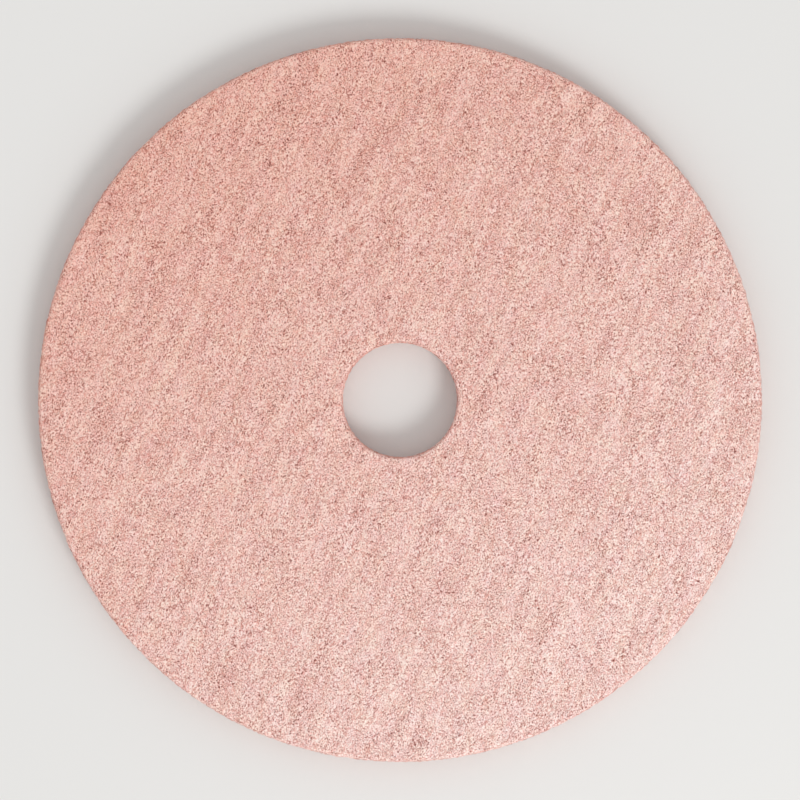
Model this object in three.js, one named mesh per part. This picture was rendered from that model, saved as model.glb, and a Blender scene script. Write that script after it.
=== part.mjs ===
// A floor polishing pad: one round slab of lofty nonwoven fibre, die-cut to its outline with a round hole
// in its middle. It lies flat on one face. Millimetres, +Z up, origin at the centre of the lower face.
import * as THREE from "three";

// Driving dimensions of the slab.
const padDiameter = 533.4; // a nominal 21 inch pad
const padThickness = 25.4; // a nominal 1 inch web
const boreDiameter = 83.5; // hole that clears the centring lug of the machine's pad driver

// The die pinches the web as it cuts, so every cut edge springs back a little rounded.
const rimEdgeRadius = 2.4;
const boreEdgeRadius = 1.8;

// Fineness of the round surfaces.
const segmentsAround = 144;
const segmentsPerEdge = 4;

const padColour = "#e4b8ae";

// Half of the slab's section in the plane of radius and height, as a closed outline with four round edges.
// An edge can round no more than half of the thickness, and both edges share the width between hole and rim.
// A path gives each of its arcs twice the divisions that it is asked for.
function slabSection() {
  const rim = padDiameter / 2;
  const bore = boreDiameter / 2;
  const most = Math.min(padThickness / 2, (rim - bore) / 2);
  const rimEdge = Math.min(rimEdgeRadius, most);
  const boreEdge = Math.min(boreEdgeRadius, most);
  const quarter = Math.PI / 2;
  const outline = new THREE.Path();
  outline.moveTo(bore + boreEdge, 0);
  outline.lineTo(rim - rimEdge, 0);
  outline.absarc(rim - rimEdge, rimEdge, rimEdge, -quarter, 0, false);
  outline.absarc(rim - rimEdge, padThickness - rimEdge, rimEdge, 0, quarter, false);
  outline.absarc(bore + boreEdge, padThickness - boreEdge, boreEdge, quarter, 2 * quarter, false);
  outline.absarc(bore + boreEdge, boreEdge, boreEdge, 2 * quarter, 3 * quarter, false);
  return outline.getPoints(segmentsPerEdge / 2);
}

// Points that fall on one place, where an arc starts at the end of a straight, are kept once.
// The last point is the first one again, which closes the outline on itself.
function closedOutline(points) {
  const apart = 1e-6;
  const kept = points.filter((point, i) => i === 0 || point.distanceTo(points[i - 1]) > apart);
  if (kept.at(-1).distanceTo(kept[0]) <= apart) kept.pop();
  return [...kept, kept[0].clone()];
}

const fibreWeb = new THREE.MeshStandardMaterial({ color: padColour, roughness: 0.95, metalness: 0 });

// The section is spun about the pad's axis. The lathe's axis is +Y, so a quarter turn brings it to +Z.
const pad = new THREE.Mesh(new THREE.LatheGeometry(closedOutline(slabSection()), segmentsAround), fibreWeb);
pad.name = "pad";
pad.rotation.x = Math.PI / 2;

const floorPad = new THREE.Group();
floorPad.add(pad);

export default floorPad;
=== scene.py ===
# %% [markdown]
# # A floor polishing pad
# The real pad is one thick slab of nonwoven web: crimped polyester fibres, laid at random by air,
# sprayed with a pink resin that glues them where they cross, and stamped out with a round die.
# Nothing on it moves. What the eye reads is the web itself: a fine grain of pale fibres over darker
# gaps, faint streaks along the line that made it, and a rougher wall where the die cut it.
# So the lesson builds a slab with a little relief, lays real strands of fibre on all its sides, and
# paints the fibres that are too many to model.

# %% Load the measured frame
import math
from random import Random

import bmesh
import bpy
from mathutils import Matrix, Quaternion, Vector, noise


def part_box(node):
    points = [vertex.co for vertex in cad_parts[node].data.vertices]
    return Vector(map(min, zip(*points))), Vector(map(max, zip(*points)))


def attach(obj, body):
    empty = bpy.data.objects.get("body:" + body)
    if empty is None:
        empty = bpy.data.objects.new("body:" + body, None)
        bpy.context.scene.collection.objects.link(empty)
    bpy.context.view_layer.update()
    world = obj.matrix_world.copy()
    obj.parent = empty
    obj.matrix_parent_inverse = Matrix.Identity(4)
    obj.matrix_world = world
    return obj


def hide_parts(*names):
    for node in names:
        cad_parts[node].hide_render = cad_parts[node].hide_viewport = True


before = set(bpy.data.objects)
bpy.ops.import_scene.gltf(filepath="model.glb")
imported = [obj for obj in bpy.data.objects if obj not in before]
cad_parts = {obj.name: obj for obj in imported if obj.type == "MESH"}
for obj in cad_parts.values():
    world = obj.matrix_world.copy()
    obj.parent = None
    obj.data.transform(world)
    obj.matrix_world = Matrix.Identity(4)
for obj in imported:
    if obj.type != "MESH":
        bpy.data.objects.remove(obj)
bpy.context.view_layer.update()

MM = 0.001
CM = 10 * MM
scene = bpy.context.scene
slab_low, slab_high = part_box("pad")
THICKNESS = slab_high.z - slab_low.z
RIM_RADIUS = (slab_high.x - slab_low.x) / 2
BORE_RADIUS = min(v.co.xy.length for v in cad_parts["pad"].data.vertices)
print(f"pad {2 * RIM_RADIUS / MM:.1f} mm across and {THICKNESS / MM:.1f} mm thick")
print(f"hole {2 * BORE_RADIUS / MM:.1f} mm across")

# %% [markdown]
# ## The camera
# The photograph looks straight down on the pad, so far away that no wall of the hole shows.
# A camera four metres up with a long lens gives the same flat view. The lens follows from the width
# of the view, and the width from the pad's radius in the photograph's own pixels.

# %% Place the camera
PHOTO_SIDE_PX = 800
PAD_RADIUS_PX = 362.8
CAMERA_HEIGHT = 4.0
CAMERA_REACH = 100.0  # nothing further away than this is drawn

view_width = RIM_RADIUS * PHOTO_SIDE_PX / PAD_RADIUS_PX
camera = bpy.data.objects.new("camera", bpy.data.cameras.new("camera"))
camera.data.lens = camera.data.sensor_width * (CAMERA_HEIGHT - THICKNESS) / view_width
camera.data.clip_end = CAMERA_REACH
camera.location = (0, 0, CAMERA_HEIGHT)
scene.collection.objects.link(camera)
scene.camera = camera
print(f"view {view_width / MM:.0f} mm wide, lens {camera.data.lens:.0f} mm")

# %% [markdown]
# ## Three small helpers
# Colours are easiest to pick as hex codes from a picture, but a shader wants linear light, so one
# function turns them. A second one adds a node to a material, sets it and links it in one call.
# A third one starts a material: what is the same all over a surface, such as its gloss, is set there
# on the shader itself, and the patterns are linked to it afterwards.

# %% Helpers for colours, nodes and materials
WHITE = "#FFFFFF"


def linear(hex_colour):
    """An sRGB hex colour as linear red, green, blue and alpha, by the curve of the sRGB standard."""
    parts = [int(hex_colour[i : i + 2], 16) / 255 for i in (1, 3, 5)]
    return (*((c / 12.92 if c <= 0.04045 else ((c + 0.055) / 1.055) ** 2.4) for c in parts), 1.0)


def add_node(tree, kind, inputs=(), **settings):
    """A new node. Each (socket, value or output socket) pair in inputs is set or linked."""
    made = tree.nodes.new(kind)
    for name, value in settings.items():
        setattr(made, name, value)
    for name, value in inputs:
        if isinstance(value, bpy.types.NodeSocket):
            tree.links.new(value, made.inputs[name])
        else:
            made.inputs[name].default_value = value
    return made


def start_material(name, finish):
    """A new material and its shader, on which each (socket, value) pair in finish is set."""
    made = bpy.data.materials.new(name)
    made.use_nodes = True
    shader = made.node_tree.nodes["Principled BSDF"]
    for socket, value in finish:
        shader.inputs[socket].default_value = value
    return made, shader


# %% [markdown]
# ## Floor and light
# A studio sweep would do, but the pad is flat, so a plain pale floor and a soft even sky are enough.
# Sky and sun together light a level surface at a strength of about one, so that a colour renders as
# it is written. A weak soft box on the lower right makes the pad a little brighter there, as the
# photograph is. It stays weak because a strong one would bleach the floor beside the pad, and painted
# light in the web's colour, which brightens it the same way further down, does the rest.

# %% Lay the floor
FLOOR_HALF = 60.0
FLOOR_GREY = "#DEDDDB"

plane = bmesh.new()
bmesh.ops.create_grid(plane, x_segments=1, y_segments=1, size=FLOOR_HALF)
floor = bpy.data.objects.new("floor", bpy.data.meshes.new("floor"))
plane.to_mesh(floor.data)
plane.free()
scene.collection.objects.link(floor)
matt_paint = [("Base Color", linear(FLOOR_GREY)), ("Roughness", 0.9), ("Specular IOR Level", 0.1)]
floor_paint, _ = start_material("pale_floor", matt_paint)
floor.data.materials.append(floor_paint)
print(f"floor {2 * FLOOR_HALF:.0f} m across, colour {FLOOR_GREY}")

# %% Light the room
SKY_STRENGTH = 0.78
SUN_STRENGTH = 1.18
SUN_SIZE = math.radians(20)
SUN_PLACE = (1.3, -2.0, 2.2)
SOFT_BOX_POWER = 2.0
SOFT_BOX_SIDE = 0.6
SOFT_BOX_PLACE = (0.62, -0.95, 0.75)
BACKDROP_STRENGTH = 1.02  # as bright as the lit floor, so that no horizon shows from the side


def light_world():
    """Even white light on the object, and the floor's colour wherever the camera sees past the floor."""
    world = bpy.data.worlds.new("studio")
    world.use_nodes = True
    tree = world.node_tree
    tree.nodes.clear()
    sky = add_node(tree, "ShaderNodeBackground", [("Color", linear(WHITE)), ("Strength", SKY_STRENGTH)])
    backdrop = add_node(
        tree, "ShaderNodeBackground", [("Color", linear(FLOOR_GREY)), ("Strength", BACKDROP_STRENGTH)]
    )
    rays = add_node(tree, "ShaderNodeLightPath").outputs
    camera_or_gloss = [(0, rays["Is Camera Ray"]), (1, rays["Is Glossy Ray"])]
    seen = add_node(tree, "ShaderNodeMath", camera_or_gloss, operation="MAXIMUM")
    either = add_node(
        tree, "ShaderNodeMixShader", [(0, seen.outputs[0]), (1, sky.outputs[0]), (2, backdrop.outputs[0])]
    )
    add_node(tree, "ShaderNodeOutputWorld", [("Surface", either.outputs[0])])
    scene.world = world


def add_lamp(lamp, place):
    """A lamp at a place, aimed at the middle of the pad."""
    piece = bpy.data.objects.new(lamp.name, lamp)
    piece.location = place
    piece.rotation_euler = (-Vector(place)).to_track_quat("-Z", "Y").to_euler()
    scene.collection.objects.link(piece)


light_world()
sun = bpy.data.lights.new("key_sun", "SUN")
sun.energy = SUN_STRENGTH
sun.angle = SUN_SIZE
add_lamp(sun, SUN_PLACE)
soft_box = bpy.data.lights.new("soft_box", "AREA")
soft_box.energy = SOFT_BOX_POWER
soft_box.size = SOFT_BOX_SIDE
add_lamp(soft_box, SOFT_BOX_PLACE)
scene.view_settings.view_transform = "Standard"
print(f"sky {SKY_STRENGTH}, sun {SUN_STRENGTH}, soft box {SOFT_BOX_POWER} W")

# %% [markdown]
# ## The slab's skin
# A web that is laid by air is never quite even. Fibres gather in faint streaks along the direction in
# which the line ran, and in smaller clumps between them. The same height moves the slab's skin and
# seats the strands on it, so that they stay together. The die leaves its walls flatter.
# To find the skin from any point, the slab is taken as a rounded ring: its section is a rectangle of
# rounded corners, and the nearest point on that is a short sum.

# %% Find the skin
SKIN_DEPTH = 0.8 * MM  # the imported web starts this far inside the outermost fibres
EDGE_RADIUS = 2.2 * MM
MIDDLE_RADIUS = (RIM_RADIUS + BORE_RADIUS) / 2
STRAIGHT_WIDTH = (RIM_RADIUS - BORE_RADIUS) / 2 - SKIN_DEPTH - EDGE_RADIUS
STRAIGHT_HEIGHT = THICKNESS / 2 - SKIN_DEPTH - EDGE_RADIUS


def skin_near(place):
    """The skin's outward direction near a place, and how far outside the even skin the place lies."""
    across = place.xy.length - MIDDLE_RADIUS
    up = place.z - THICKNESS / 2
    past = Vector((abs(across) - STRAIGHT_WIDTH, abs(up) - STRAIGHT_HEIGHT))
    if min(past) > 0:
        way = past.normalized()
        outside = past.length - EDGE_RADIUS
    else:
        way = Vector((1, 0)) if past.x > past.y else Vector((0, 1))
        outside = max(past) - EDGE_RADIUS
    away = Vector((place.x, place.y, 0)).normalized() * math.copysign(way.x, across)
    return away + Vector((0, 0, math.copysign(way.y, up))), outside


print(f"straight stretches: {2 * STRAIGHT_WIDTH / MM:.1f} mm across, {2 * STRAIGHT_HEIGHT / MM:.1f} mm up")

# %% Height of the skin
LINE_ANGLE = math.radians(67)  # the streaks lean this far from the right in the photograph
STREAK = (Vector((44, 13, 5)) * MM, 0.32 * MM)  # size along the line, across it and in depth; height
CLUMP = (Vector((23, 5.2, 2.5)) * MM, 0.36 * MM)
WALL_SHARE = 0.4  # how much of the relief the die leaves on the walls


def relief(place, normal):
    """How far the skin stands out from its mean at a place on the slab, in metres."""
    turn_cos, turn_sin = math.cos(LINE_ANGLE), math.sin(LINE_ANGLE)
    along = place.x * turn_cos + place.y * turn_sin
    across = place.y * turn_cos - place.x * turn_sin
    height = 0.0
    for size, most in (STREAK, CLUMP):
        height += most * noise.noise(Vector((along / size.x, across / size.y, place.z / size.z)))
    return height * (WALL_SHARE + (1 - WALL_SHARE) * abs(normal.z))


print(f"relief: {(STREAK[1] + CLUMP[1]) / MM:.2f} mm at most")

# %% [markdown]
# ## The slab
# The slab could be a cylinder with a boolean hole, but a lathe shape gives cleaner rings: its section
# is drawn once, with round edges where the die pinched the web, and spun about the axis. A ring near
# the rim is six times longer than one at the hole, so the outer rings are divided again. Each point
# is then moved by the relief.

# %% Draw and spin the section
RING_STEP = 2.6 * MM
LOWER_STEP = 5.2 * MM  # the face on the floor gets half as many rings
EDGE_SEGMENTS = 3
LEVEL = 1e-6  # points of one ring differ by less than this in height and radius
BORE_STEPS = 168  # edges in a ring at the hole


def draw_section(shape):
    """A rectangle with rounded corners in the plane of radius and height, cut into short edges."""
    inner, outer = BORE_RADIUS + SKIN_DEPTH, RIM_RADIUS - SKIN_DEPTH
    low, high = SKIN_DEPTH, THICKNESS - SKIN_DEPTH
    places = ((inner, low), (outer, low), (outer, high), (inner, high))
    corners = [shape.verts.new((radius, 0, height)) for radius, height in places]
    shape.faces.new(corners)
    bmesh.ops.bevel(
        shape,
        geom=corners,
        offset=EDGE_RADIUS,
        offset_type="OFFSET",
        segments=EDGE_SEGMENTS,
        profile=0.5,
        affect="VERTICES",
        material=-1,
    )
    bmesh.ops.delete(shape, geom=shape.faces[:], context="FACES_ONLY")
    for edge in shape.edges[:]:
        on_floor = max(v.co.z for v in edge.verts) < low + LEVEL
        cuts = round(edge.calc_length() / (LOWER_STEP if on_floor else RING_STEP)) - 1
        if cuts > 0:
            bmesh.ops.subdivide_edges(shape, edges=[edge], cuts=cuts)


web = bmesh.new()
draw_section(web)
bmesh.ops.spin(
    web,
    geom=web.verts[:] + web.edges[:],
    cent=(0, 0, 0),
    axis=(0, 0, 1),
    angle=2 * math.pi,
    steps=BORE_STEPS,
    use_merge=True,
)
print(f"spun slab: {len(web.faces)} faces")

# %% Divide the outer rings
DIVIDED_PAST = (2, 4)  # in hole radii: past each, a ring's edges have grown twice as long and are halved


def divide_rings(shape, inside, steps):
    """Halves each edge that runs round the axis outside a radius, and puts the new points on the circle."""
    around = [
        e
        for e in shape.edges
        if min(v.co.xy.length for v in e.verts) > inside
        and abs(e.verts[0].co.z - e.verts[1].co.z) < LEVEL
        and abs(e.verts[0].co.xy.length - e.verts[1].co.xy.length) < LEVEL
    ]
    cut = bmesh.ops.subdivide_edges(shape, edges=around, cuts=1, use_grid_fill=True)
    out_to_circle = 1 / math.cos(math.pi / steps)
    for part in cut["geom_inner"]:
        if isinstance(part, bmesh.types.BMVert):
            part.co.xy *= out_to_circle


steps = BORE_STEPS
for hole_radii in DIVIDED_PAST:
    divide_rings(web, hole_radii * BORE_RADIUS, steps)
    steps *= 2
bmesh.ops.recalc_face_normals(web, faces=web.faces[:])
print(f"divided slab: {len(web.faces)} faces, {steps} edges in a ring at the rim")

# %% Raise the relief and hand the slab over
on_wall = web.verts.layers.float.new("on_wall")
for vert in web.verts:
    normal, _ = skin_near(vert.co)
    vert[on_wall] = 1 - abs(normal.z)
    vert.co += normal * relief(vert.co, normal)

slab = bpy.data.objects.new("bonded_web", bpy.data.meshes.new("bonded_web"))
web.to_mesh(slab.data)
triangles = sum(len(f.verts) - 2 for f in web.faces)
print(f"slab: {triangles} triangles, {web.calc_volume(signed=True) / CM**3:.0f} cm3")
web.free()
slab.data.shade_smooth()
scene.collection.objects.link(slab)
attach(slab, "root")
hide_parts("pad")

# %% [markdown]
# ## The finish of the web
# Polyester fibre under a thin coat of pink resin is matt: light goes round many fibres before it comes
# back, which makes the gaps redder as well as darker. Here that shade in the gaps is painted into the
# colour. At arm's length single fibres can't be told apart, and they blend into a grain about as fine
# as the picture's own pixels.
# An even noise would look like ground stone close up. So each layer of fibres is a noise stretched
# into short strokes, three layers lie at different angles, and the highest one shows at each point,
# as strokes that cross over each other. A few level lines of the same kind of noise wander over them
# like single long fibres. The real fibres are under 0.1 mm thick. These strokes are 0.3 to 0.5 mm
# wide, so that they still show.

# %% Sizes of the patterns
# Each size is in millimetres: along the fibres or the machine's line, across it, and in depth.
FIBRE_TURNS = (0, 48, -44)  # degrees between the machine's line and each layer of fibres
LINE_SIZE = (2.4, 0.8, 0.8)
LINE_LEVELS = 0.06  # a line covers the noise's levels up to this far from the middle one
GRAIN_SIZE = (1.5, 0.48, 0.48)
CLUMP_SIZE = (33, 7, 3)
STREAK_SIZE = (60, 15, 6)
PLY_SIZE = (9, 9, 1.3)  # the plies of the web lie level, and show in the walls
PATCH_SIZE = (16, 9, 9)  # the dye took differently from patch to patch
NOISE_MIDDLE = 0.5


def stretched_noise(tree, size, turn, seed, detail=0.0):
    """Noise of a size, turned about the axis. The seed shifts it, so that no two patterns are alike."""
    here = add_node(tree, "ShaderNodeTexCoord").outputs["Object"]
    laid = add_node(
        tree,
        "ShaderNodeMapping",
        [
            ("Vector", here),
            ("Location", (seed, 0, 0)),
            ("Rotation", (0, 0, turn)),
            ("Scale", Vector(size) * MM),
        ],
        vector_type="TEXTURE",
    )
    return add_node(
        tree, "ShaderNodeTexNoise", [("Vector", laid.outputs[0]), ("Scale", 1.0), ("Detail", detail)]
    ).outputs["Fac"]


def faint_streaks(tree):
    """The streaks along the machine's line, which the web and the strands on it share."""
    return stretched_noise(tree, STREAK_SIZE, LINE_ANGLE, seed=0.71, detail=1.0)


# %% Strokes and lines
def level_lines(tree, hills, width):
    """1 where the noise is near its middle level and 0 elsewhere, which draws thin wandering lines."""
    middle = add_node(tree, "ShaderNodeMath", [(0, hills), (1, NOISE_MIDDLE)], operation="SUBTRACT")
    off = add_node(tree, "ShaderNodeMath", [(0, middle.outputs[0])], operation="ABSOLUTE")
    return add_node(
        tree,
        "ShaderNodeMapRange",
        [("Value", off.outputs[0]), ("From Max", width), ("To Min", 1.0), ("To Max", 0.0)],
        interpolation_type="SMOOTHSTEP",
    ).outputs[0]


def crossed(tree, size, seed, width=None):
    """The highest of some layers of stretched noise, one for each angle. A width turns them into lines."""
    highest = None
    for layer, turn in enumerate(FIBRE_TURNS):
        pattern = stretched_noise(tree, size, LINE_ANGLE + math.radians(turn), seed + layer)
        if width is not None:
            pattern = level_lines(tree, pattern, width)
        if highest is not None:
            pattern = add_node(
                tree, "ShaderNodeMath", [(0, highest), (1, pattern)], operation="MAXIMUM"
            ).outputs[0]
        highest = pattern
    return highest


def weighted(tree, start, parts):
    """start plus the sum of each pattern times its weight."""
    total = start
    for pattern, weight in parts:
        total = add_node(
            tree, "ShaderNodeMath", [(0, pattern), (1, weight), (2, total)], operation="MULTIPLY_ADD"
        ).outputs[0]
    return total


# %% [markdown]
# ## The pink
# The web's colour runs from the red of the gaps through pink to pale fibre. Two tints multiply it:
# painted shade that darkens the pad towards the upper left and gives way to painted light towards the
# lower right, and a dye whose hue shifts from patch to patch. So one function serves the web and the
# strands alike.

# %% Colours of the web
# painted shade: the dark red end of the ramp stands for the shade in the gaps between fibres
GAP_SHADE_RED = "#7A3E35"
WEB_PINK = "#FAC7BF"
FIBRE_PALE = "#FFF8F2"
STRAND_ROSE = "#B67D70"
STRAND_PINK = "#FBC9BE"
STRAND_WHITE = "#FFF5F1"
# painted shade: this tint darkens the pad most at the upper left, and gives way to white, painted light, at
# the lower right
SHADED_SIDE_TINT = "#F6DFD6"
PINKER_DYE = "#FFF4FA"
WARMER_DYE = "#FFFAF0"
PAINTED_LIGHT_WAY = Vector((0.55, -0.84, 0))  # towards the lower right, where the painted light is strongest
PAINTED_LIGHT_HALF = 0.5  # the painted light is half done at the pad's middle, and the other half is done at the rim


def coloured(tree, tone, stops):
    """The colour of a tone from 0 to 1 between colour stops, with painted shade towards the upper left that
    gives way to painted light towards the lower right, and patches of hue.
    """
    ramp = add_node(tree, "ShaderNodeValToRGB", [("Fac", tone)])
    ramp.color_ramp.elements[0].color = linear(stops[0])
    ramp.color_ramp.elements[1].color = linear(stops[-1])
    for i, stop in enumerate(stops[1:-1], start=1):
        ramp.color_ramp.elements.new(i / (len(stops) - 1)).color = linear(stop)
    here = add_node(tree, "ShaderNodeTexCoord").outputs["Object"]
    way = add_node(tree, "ShaderNodeVectorMath", [(0, here), (1, PAINTED_LIGHT_WAY)], operation="DOT_PRODUCT")
    # painted light: 0 at the upper left rim, where the tint shades the pad most, and 1 at the lower right
    # rim
    painted_light = weighted(tree, PAINTED_LIGHT_HALF, ((way.outputs["Value"], PAINTED_LIGHT_HALF / RIM_RADIUS),))
    patches = stretched_noise(tree, PATCH_SIZE, LINE_ANGLE, seed=0.47, detail=2.0)
    made = ramp.outputs["Color"]
    # the first tint is painted light and shade across the pad; the second is the dye's hue from patch to
    # patch
    for share, one, other in ((painted_light, SHADED_SIDE_TINT, WHITE), (patches, PINKER_DYE, WARMER_DYE)):
        between = [("Factor", share), ("A", linear(one)), ("B", linear(other))]
        dye_and_painted_light = add_node(tree, "ShaderNodeMix", between, data_type="RGBA").outputs["Result"]
        made = add_node(
            tree,
            "ShaderNodeMix",
            [("Factor", 1.0), ("A", made), ("B", dye_and_painted_light)],
            data_type="RGBA",
            blend_type="MULTIPLY",
        ).outputs["Result"]
    return made


# %% Resin-bonded polyester
WEB_START = -2.455  # brings the sum of the web's patterns down to the ramp's range from 0 to 1
FIBRE_HEIGHT = 0.6  # share of the bump that each pattern of fibres raises
BUMP_DEPTH = 0.15 * MM


def bonded_web_material(name):
    """Fibre glued where it crosses, matt in the gaps and a little smoother where the resin lies."""
    made, shader = start_material(name, [("Specular IOR Level", 0.15), ("Sheen Weight", 0.03)])
    tree = made.node_tree
    lines = crossed(tree, LINE_SIZE, seed=0.11, width=LINE_LEVELS)
    grain = crossed(tree, GRAIN_SIZE, seed=0.37)
    clumps = stretched_noise(tree, CLUMP_SIZE, LINE_ANGLE, seed=0.53, detail=1.0)
    streaks = faint_streaks(tree)
    layers = stretched_noise(tree, PLY_SIZE, LINE_ANGLE, seed=0.83)
    wall = add_node(tree, "ShaderNodeAttribute", attribute_name="on_wall").outputs["Fac"]
    plies = add_node(tree, "ShaderNodeMath", [(0, layers), (1, wall)], operation="MULTIPLY").outputs[0]
    # on the walls the tone leans 0.3 further towards the painted shade of the gaps
    parts = ((lines, 0.3), (grain, 4.3), (clumps, 0.47), (streaks, 0.26), (plies, 0.5), (wall, -0.3))
    colour = coloured(tree, weighted(tree, WEB_START, parts), (GAP_SHADE_RED, WEB_PINK, FIBRE_PALE))
    height = weighted(tree, 0.0, ((lines, FIBRE_HEIGHT), (grain, FIBRE_HEIGHT)))
    raised = [("Strength", 1.0), ("Distance", BUMP_DEPTH), ("Height", height)]
    bump = add_node(tree, "ShaderNodeBump", raised)
    rough = add_node(tree, "ShaderNodeMapRange", [("Value", lines), ("To Min", 0.95), ("To Max", 0.8)])
    tree.links.new(colour, shader.inputs["Base Color"])
    tree.links.new(rough.outputs[0], shader.inputs["Roughness"])
    tree.links.new(bump.outputs[0], shader.inputs["Normal"])
    return made


slab.data.materials.append(bonded_web_material("resin_bonded_polyester_web"))
print("slab material:", slab.data.materials[0].name)

# %% [markdown]
# ## Fibres on the skin
# The real fibres are crimped, 40 to 50 mm long and less than a tenth of a millimetre thick, and tens of
# thousands lie on each face. Hair could draw them, but it makes no mesh. Here each strand is a short run
# of points that walks over the skin, wavers with the crimp, weaves in and out of the web, and dips into
# it at both ends. It is drawn about four times too thick, so that it still shows from a metre away.

# %% Walk a fibre over the skin
FIBRE_STEP = 1.6 * MM
FIBRE_RADIUS = 0.17 * MM
BEND = 7  # degrees, the spread of the turn that a strand keeps making from step to step
CRIMP_LENGTH = 8.0 * MM
CRIMP_SWING = math.radians(36)
WEAVE_LENGTH = 7.0 * MM
WEAVE = 0.2 * MM
DIP = 0.3 * MM  # how deep both ends of a strand lie under the skin


def walk(start, heading, points, arch, chance):
    """A strand's points: it starts over a place, keeps to the skin, and arches over it by a height."""
    foot = Vector(start)
    run = []
    crimp_start, weave_start = chance.uniform(0, 2 * math.pi), chance.uniform(0, 2 * math.pi)
    bend = math.radians(chance.gauss(0, BEND))
    for step in range(points):
        normal, outside = skin_near(foot)
        foot = foot - normal * outside
        gone = 2 * math.pi * step * FIBRE_STEP
        lift = (arch + DIP) * math.sin(math.pi * step / (points - 1)) - DIP
        lift += WEAVE * math.sin(weave_start + gone / WEAVE_LENGTH)
        point = foot + normal * (relief(foot, normal) + lift)
        point.z = max(point.z, FIBRE_RADIUS)  # the floor holds the lowest fibres flat
        run.append(point)
        flat = (heading - normal * heading.dot(normal)).normalized()
        heading = Quaternion(normal, bend) @ flat
        crimp = CRIMP_SWING * math.cos(crimp_start + gone / CRIMP_LENGTH)
        foot = foot + (Quaternion(normal, crimp) @ flat) * FIBRE_STEP
    return run


# %% [markdown]
# ## From points to strands
# A curve with a three-sided bevel turns each run of points into a closed strand of a few dozen faces.
# Each strand carries a tone of its own for the material, and has a cell of its own on the UV map, so
# that a baked texture can hold its colour.

# %% The section of a strand
SIDES = 3
section_line = bpy.data.curves.new("fibre_section", "CURVE")
section_corners = section_line.splines.new("POLY")
section_corners.points.add(SIDES - 1)
for corner, point in enumerate(section_corners.points):
    angle = -2 * math.pi * corner / SIDES
    point.co = (FIBRE_RADIUS * math.cos(angle), FIBRE_RADIUS * math.sin(angle), 0, 1)
section_corners.use_cyclic_u = True
section = bpy.data.objects.new("fibre_section", section_line)
print(f"section: {SIDES} sides, {2 * FIBRE_RADIUS / MM:.2f} mm across")


def swept(name, runs):
    """A mesh of the section swept along each run. It holds all the end caps first, and then the walls."""
    lines = bpy.data.curves.new(name, "CURVE")
    lines.dimensions = "3D"
    lines.bevel_mode = "OBJECT"
    lines.bevel_object = section
    lines.use_fill_caps = True
    for run in runs:
        spline = lines.splines.new("POLY")
        spline.points.add(len(run) - 1)
        spline.points.foreach_set("co", [c for point in run for c in (*point, 1)])
    carrier = bpy.data.objects.new(name + "_lines", lines)
    for part in (section, carrier):
        scene.collection.objects.link(part)
    graph = bpy.context.evaluated_depsgraph_get()
    mesh = bpy.data.meshes.new_from_object(carrier.evaluated_get(graph))
    mesh.name = name
    scene.collection.objects.unlink(section)
    bpy.data.objects.remove(carrier)
    return mesh


# %% Tone and map of each strand
CELL_MARGIN = 0.12  # of a cell, kept free on each side
CAP_TIP = 0.5  # where the tip of a cap's triangle lies across the curve's own map
CAP_HEIGHT = 0.1  # a cap has no height on that map, so its tip gets this share of its cell


def give_tones(mesh, tones, points):
    """One tone for all the points of each strand."""
    tone = mesh.attributes.new("tone", "FLOAT", "POINT")
    caps, walls = 2 * SIDES, points * SIDES
    values = [t for count in (caps, walls) for t in tones for _ in range(count)]
    tone.data.foreach_set("value", values)


def give_cells(mesh, strand_count, points):
    """Moves each strand's part of the map to a cell of its own."""
    layer = mesh.uv_layers[0]
    layer.name = "OFBake"
    places = [0.0] * (2 * len(mesh.loops))
    layer.uv.foreach_get("vector", places)
    side = math.ceil(math.sqrt(strand_count))
    kept = 1 - 2 * CELL_MARGIN
    corner = 0
    for part_corners, is_cap in ((2 * SIDES, True), (4 * SIDES * (points - 1), False)):
        for strand in range(strand_count):
            row, column = divmod(strand, side)
            for at in range(2 * corner, 2 * (corner + part_corners), 2):
                u, v = places[at], places[at + 1]
                if is_cap:
                    v = CAP_HEIGHT if u == CAP_TIP else 0.0
                places[at] = (column + CELL_MARGIN + kept * u) / side
                places[at + 1] = (row + CELL_MARGIN + kept * v) / side
            corner += part_corners
    layer.uv.foreach_set("vector", places)


# %% Make one piece of many strands
WELD = 1e-7  # a cap and its wall have points of their own at the same places, and are joined there


def strands(name, runs, tones, finish):
    """One piece that holds a strand for each run of points. All its runs have as many points."""
    mesh = swept(name, runs)
    give_tones(mesh, tones, len(runs[0]))
    give_cells(mesh, len(runs), len(runs[0]))
    loose = bmesh.new()
    loose.from_mesh(mesh)
    bmesh.ops.remove_doubles(loose, verts=loose.verts[:], dist=WELD)
    bmesh.ops.recalc_face_normals(loose, faces=loose.faces[:])
    open_edges = sum(not e.is_manifold for e in loose.edges)
    triangles = sum(len(f.verts) - 2 for f in loose.faces)
    print(f"{name}: {len(runs)} strands, {triangles} triangles, {open_edges} open edges")
    loose.to_mesh(mesh)
    loose.free()
    mesh.shade_smooth()
    mesh.materials.clear()
    mesh.materials.append(finish)
    piece = bpy.data.objects.new(name, mesh)
    scene.collection.objects.link(piece)
    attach(piece, "root")


# %% Crimped polyester staple
STRAND_START = -0.08  # makes up for the streaks, so that most strands stay within the ramp


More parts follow.
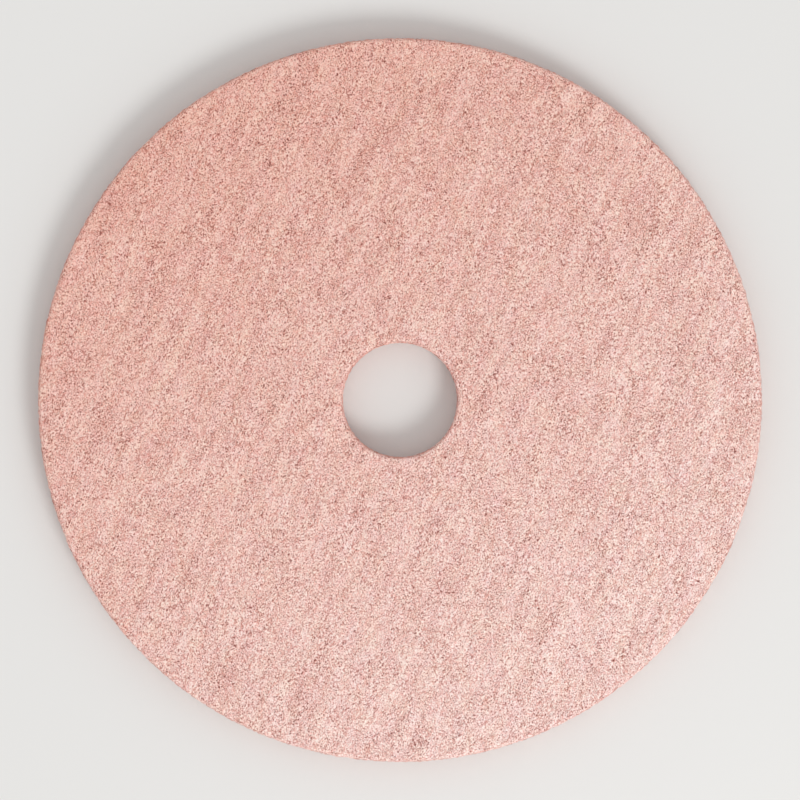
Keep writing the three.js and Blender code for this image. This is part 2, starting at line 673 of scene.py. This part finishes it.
def staple_material(name):
    """Crimped fibre under a thin coat of resin. Every strand took the pink a little differently."""
    satin = [("Roughness", 0.55), ("Specular IOR Level", 0.35), ("Sheen Weight", 0.03)]
    made, shader = start_material(name, satin)
    tree = made.node_tree
    own_tone = add_node(tree, "ShaderNodeAttribute", attribute_name="tone").outputs["Fac"]
    tone = weighted(tree, STRAND_START, ((own_tone, 1.0), (faint_streaks(tree), 0.3)))
    colour = coloured(tree, tone, (STRAND_ROSE, STRAND_PINK, STRAND_WHITE))
    tree.links.new(colour, shader.inputs["Base Color"])
    return made


staple = staple_material("crimped_polyester_staple")
print("strand material:", staple.name)

# %% [markdown]
# ## Laying the fibres
# Strands are spread by the golden angle, as seeds are in a sunflower, so that no place is left bare.
# From a low side the seeds would still line up in rows, so each strand is also shifted a little at
# random. Strands lie at all angles on a face, a little more often along the machine's line.

# %% Fibres on the two faces
GOLDEN_ANGLE = math.pi * (3 - math.sqrt(5))
FACE_STRANDS = 5900
LOWER_STRANDS = 2900
FACE_POINTS = 6
FACE_LEAN = 38  # degrees, the spread about the machine's line
FACE_ARCH = 0.3 * MM
SHIFT = 5 * MM  # about the distance from a strand to the next one


def around_axis(radius, angle, height):
    """The place at a radius, angle and height."""
    return Vector((radius * math.cos(angle), radius * math.sin(angle), height))


def face_fibres(name, height, count, seed):
    """Strands over the whole of the upper or the lower face. The seed also turns the sunflower."""
    chance = Random(seed)
    inner, outer = BORE_RADIUS + SKIN_DEPTH, RIM_RADIUS - SKIN_DEPTH
    runs, tones = [], []
    for i in range(count):
        radius = math.sqrt(inner**2 + (outer**2 - inner**2) * (i + 0.5) / count)
        place = around_axis(radius, seed + i * GOLDEN_ANGLE, height)
        place += Vector((chance.uniform(-SHIFT, SHIFT), chance.uniform(-SHIFT, SHIFT), 0))
        lean = LINE_ANGLE + math.radians(chance.gauss(0, FACE_LEAN))
        heading = Vector((math.cos(lean), math.sin(lean), 0))
        half = heading * FIBRE_STEP * (FACE_POINTS - 1) / 2
        runs.append(walk(place - half, heading, FACE_POINTS, chance.uniform(0, FACE_ARCH), chance))
        tones.append(chance.random())
    strands(name, runs, tones, staple)


for number in (1, 2, 3):
    face_fibres(f"upper_fibres_{number}", THICKNESS, FACE_STRANDS, seed=number)
face_fibres("lower_fibres", 0.0, LOWER_STRANDS, seed=4)

# %% [markdown]
# ## The cut walls
# The die cuts the web on end, so its walls show the layers: short lengths of fibre that lie nearly
# level, and cut ends that stand out a little, which keeps the outline from being razor sharp.

# %% One fibre on a wall
WALL_POINTS = 6
WALL_ARCH = 0.4 * MM
WALL_LEAN = 20  # degrees, the spread about the level
END_ROOT = 0.8 * MM  # a cut end starts this far inside the skin
END_LENGTHS = (1.2 * MM, 2.0 * MM)
END_DROOP = 0.3  # the share of its reach that a bent end loses
END_ASIDE = 0.6  # the spread of how far an end bends round the wall, as a share of its length
END_RISE = 0.3  # and of how far it bends up or down


def wall_fibre(place, around, chance):
    """A short fibre that lies nearly level on a wall."""
    rise = math.tan(math.radians(chance.gauss(0, WALL_LEAN)))
    heading = (around * chance.choice((-1, 1)) + Vector((0, 0, rise))).normalized()
    return walk(place, heading, WALL_POINTS, chance.uniform(0, WALL_ARCH), chance)


def cut_end(place, away, around, chance):
    """A fibre's cut end, which leaves the wall and bends aside."""
    aside = around * chance.gauss(0, END_ASIDE) + Vector((0, 0, chance.gauss(0, END_RISE)))
    length = chance.uniform(*END_LENGTHS)
    shares = [step / (WALL_POINTS - 1) for step in range(WALL_POINTS)]
    root = place - away * END_ROOT
    run = [root + (away * s * (1 - END_DROOP * s) + aside * s**2) * length for s in shares]
    for point in run:
        point.z = min(max(point.z, FIBRE_RADIUS), THICKNESS - FIBRE_RADIUS)
    return run


# %% Fibres on the rim and in the hole
RIM_STRANDS = 5000
BORE_STRANDS = 900
END_SHARE = 0.3  # this share of a wall's strands are cut ends
CUT_EDGE = 0.4 * MM  # walls' strands start at least this far from the faces


def wall_fibres(name, seed):
    """Strands over the rim and over the wall of the hole, as one piece."""
    chance = Random(seed)
    runs, tones = [], []
    walls = ((RIM_RADIUS - SKIN_DEPTH, 1, RIM_STRANDS), (BORE_RADIUS + SKIN_DEPTH, -1, BORE_STRANDS))
    for radius, side, count in walls:
        for i in range(count):
            angle = i * GOLDEN_ANGLE
            place = around_axis(radius, angle, chance.uniform(CUT_EDGE, THICKNESS - CUT_EDGE))
            away = around_axis(side, angle, 0)
            around = around_axis(1, angle + math.pi / 2, 0)
            if chance.random() < END_SHARE:
                runs.append(cut_end(place, away, around, chance))
            else:
                runs.append(wall_fibre(place, around, chance))
            tones.append(chance.random())
    strands(name, runs, tones, staple)


wall_fibres("edge_fibres", seed=5)
